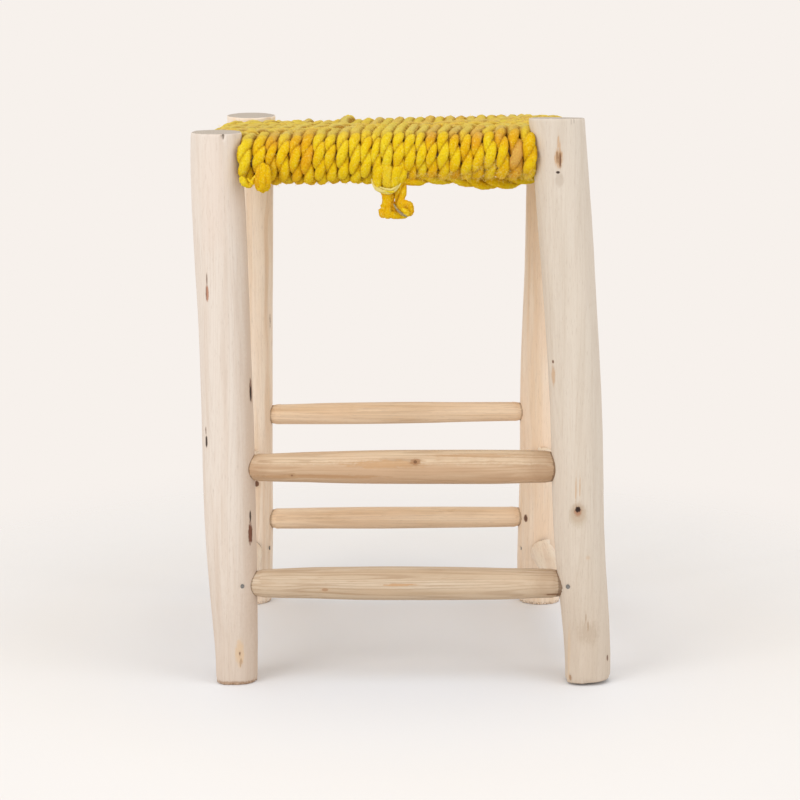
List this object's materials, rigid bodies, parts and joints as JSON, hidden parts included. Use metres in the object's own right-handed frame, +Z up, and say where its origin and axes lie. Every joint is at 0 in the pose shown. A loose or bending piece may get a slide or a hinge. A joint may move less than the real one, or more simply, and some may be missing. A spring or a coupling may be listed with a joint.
{
  "type": "rope seat stool",
  "caption": "Low square stool of peeled wooden poles with socketed rungs and a rope-woven seat in four triangles.",
  "frame": {"origin": "on the floor, under the middle of the stool's outline", "axes": "+Z up, +Y from the front of the stool to its back, +X to its right, seen from the front"},
  "size_m": [0.3398, 0.327, 0.4604],
  "materials": {
    "leg_wood": "peeled and scraped, raw, with knots and chipped feet",
    "rung_wood": "shaved, raw, straight grain with knots",
    "rail_wood": "raw pole, hidden under the rope",
    "rope": "soft two-strand cotton rope, dyed yellow, slightly fuzzy",
    "nail_steel": "dull, slightly rusty"
  },
  "bodies": {
    "root": {"leg_back_left": "leg_wood", "leg_back_right": "leg_wood", "leg_front_left": "leg_wood", "leg_front_right": "leg_wood", "nails_back_rung": "nail_steel", "nails_front_rung": "nail_steel", "nails_left_rung": "nail_steel", "nails_right_rung": "nail_steel", "rung_back_lower": "rung_wood", "rung_back_upper": "rung_wood", "rung_front_lower": "rung_wood", "rung_front_upper": "rung_wood", "rung_left_lower": "rung_wood", "rung_left_upper": "rung_wood", "rung_right_lower": "rung_wood", "rung_right_upper": "rung_wood", "seat_cord_back": "rope", "seat_cord_front": "rope", "seat_cord_left": "rope", "seat_cord_right": "rope", "seat_rail_back": "rail_wood", "seat_rail_front": "rail_wood", "seat_rail_left": "rail_wood", "seat_rail_right": "rail_wood", "start_knot": "rope", "tail_cord": "rope", "tail_knot": "rope"}
  },
  "joints": []
}
